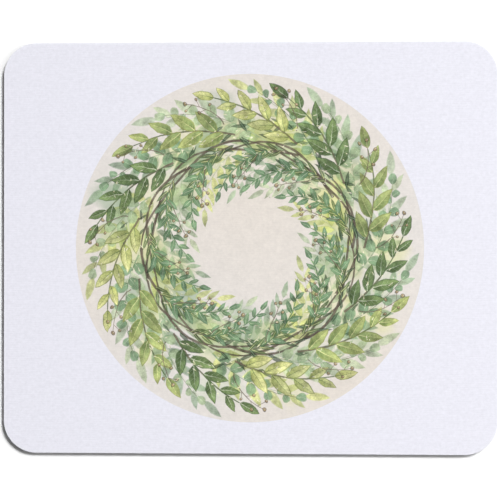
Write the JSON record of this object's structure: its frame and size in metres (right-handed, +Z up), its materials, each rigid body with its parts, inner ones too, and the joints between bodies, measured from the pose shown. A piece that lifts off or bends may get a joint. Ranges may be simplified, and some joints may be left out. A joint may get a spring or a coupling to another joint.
{
  "type": "mouse mat",
  "caption": "Flat rectangular mouse mat with round corners: white cloth on black foam rubber, with a round cream print of a leafy wreath.",
  "frame": {"origin": "the middle of the underside, where the mat lies on the desk", "axes": "+X along the long side, +Y along the short side away from the user, +Z up out of the cloth"},
  "size_m": [0.24, 0.2, 0.003],
  "materials": {
    "foam_rubber": "matte",
    "white_cloth": "fine flat weave, matte",
    "cream_print": "cream dye in the weave, matte",
    "leaf_green_print": "leaf green dye in the weave, matte",
    "deep_green_print": "deep green dye in the weave, matte",
    "yellow_green_print": "yellow-green dye in the weave, matte",
    "blue_green_print": "blue-green dye in the weave, matte"
  },
  "bodies": {
    "root": {"rubber_base": "foam_rubber", "cloth_top": "white_cloth", "print_disc": "cream_print", "leafy_sprig_01": "leaf_green_print", "leafy_sprig_02": "deep_green_print", "leafy_sprig_03": "yellow_green_print", "leafy_sprig_04": "leaf_green_print", "leafy_sprig_05": "deep_green_print", "leafy_sprig_06": "yellow_green_print", "leafy_sprig_07": "leaf_green_print", "leafy_sprig_08": "deep_green_print", "leafy_sprig_09": "yellow_green_print", "leafy_sprig_10": "leaf_green_print", "leafy_sprig_11": "deep_green_print", "fern_sprig_01": "blue_green_print", "fern_sprig_02": "blue_green_print", "fern_sprig_03": "blue_green_print", "fern_sprig_04": "blue_green_print", "fern_sprig_05": "blue_green_print", "fern_sprig_06": "blue_green_print", "fern_sprig_07": "blue_green_print", "fern_sprig_08": "blue_green_print", "fern_sprig_09": "blue_green_print", "fern_sprig_10": "blue_green_print", "fern_sprig_11": "blue_green_print"}
  },
  "joints": []
}
